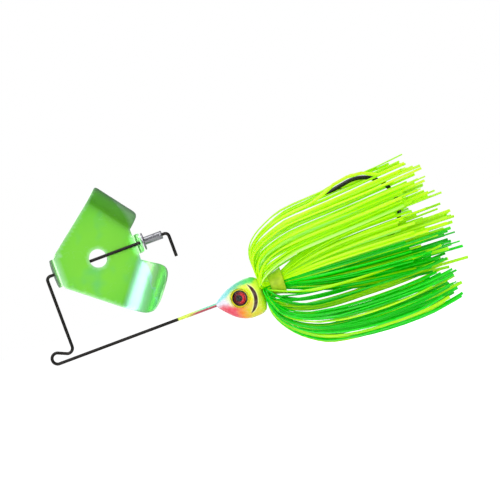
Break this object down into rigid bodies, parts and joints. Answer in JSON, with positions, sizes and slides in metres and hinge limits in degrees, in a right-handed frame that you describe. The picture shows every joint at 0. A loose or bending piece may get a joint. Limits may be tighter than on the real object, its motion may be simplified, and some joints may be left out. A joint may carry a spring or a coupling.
{
  "type": "buzzbait",
  "caption": "Surface fishing lure: bent wire form with a spinning folded blade, painted cast head on a single hook and a flared strand skirt.",
  "frame": {"origin": "centre of the line-tie loop", "axes": "+X from the line tie along the arm to the hook, +Z to the blade side, +Y to the lure's far side"},
  "size_m": [0.1204, 0.0272, 0.0649],
  "materials": {
    "dark_wire": "dark drawn spring wire",
    "black_nickel": "black nickel plate",
    "painted_lead": "clear-coated airbrushed paint",
    "printed_eye": "printed foil",
    "clear_resin": "clear domed resin",
    "green_metal": "metallic candy green on aluminium sheet",
    "bright_rivet": "bright drawn sleeve",
    "lime_rubber": "satin rubber",
    "chartreuse_silicone": "glossy translucent silicone",
    "green_silicone": "glossy translucent silicone"
  },
  "bodies": {
    "frame": {"wire_form": "dark_wire", "head_casting": "painted_lead", "hook": "black_nickel", "eye_disc_near": "printed_eye", "eye_disc_far": "printed_eye", "eye_dome_near": "clear_resin", "eye_dome_far": "clear_resin", "skirt_collar": "lime_rubber", "skirt_strand_01": "chartreuse_silicone", "skirt_strand_02": "chartreuse_silicone", "skirt_strand_03": "chartreuse_silicone", "skirt_strand_04": "chartreuse_silicone", "skirt_strand_05": "chartreuse_silicone", "skirt_strand_06": "chartreuse_silicone", "skirt_strand_07": "chartreuse_silicone", "skirt_strand_08": "chartreuse_silicone", "skirt_strand_09": "chartreuse_silicone", "skirt_strand_10": "chartreuse_silicone", "skirt_strand_11": "chartreuse_silicone", "skirt_strand_12": "green_silicone", "skirt_strand_13": "green_silicone", "skirt_strand_14": "green_silicone", "skirt_strand_15": "green_silicone", "skirt_strand_16": "green_silicone", "skirt_strand_17": "green_silicone", "skirt_strand_18": "green_silicone", "skirt_strand_19": "green_silicone", "skirt_strand_20": "green_silicone", "skirt_strand_21": "green_silicone", "skirt_strand_22": "green_silicone", "skirt_strand_23": "green_silicone", "skirt_strand_24": "green_silicone", "skirt_strand_25": "green_silicone", "skirt_strand_26": "green_silicone", "skirt_strand_27": "green_silicone", "skirt_strand_28": "green_silicone", "skirt_strand_29": "green_silicone", "skirt_strand_30": "green_silicone", "skirt_strand_31": "green_silicone", "skirt_strand_32": "green_silicone", "skirt_strand_33": "green_silicone", "skirt_strand_34": "chartreuse_silicone", "skirt_strand_35": "chartreuse_silicone", "skirt_strand_36": "chartreuse_silicone", "skirt_strand_37": "chartreuse_silicone", "skirt_strand_38": "chartreuse_silicone", "skirt_strand_39": "chartreuse_silicone", "skirt_strand_40": "chartreuse_silicone", "skirt_strand_41": "chartreuse_silicone", "skirt_strand_42": "chartreuse_silicone", "skirt_strand_43": "chartreuse_silicone", "skirt_strand_44": "chartreuse_silicone"},
    "rivet": {"bearing_rivet": "bright_rivet"},
    "blade": {"buzz_blade": "green_metal"}
  },
  "joints": [
    {"name": "rivet_slide", "type": "slide", "parent": "frame", "child": "rivet", "axis": [1, 0, 0], "range_m": [-0.0009, 0.0005]},
    {"name": "blade_spin", "type": "hinge", "parent": "rivet", "child": "blade", "pos_m": [0.0204, 0, 0.0223], "axis": [1, 0, 0], "continuous": true}
  ]
}
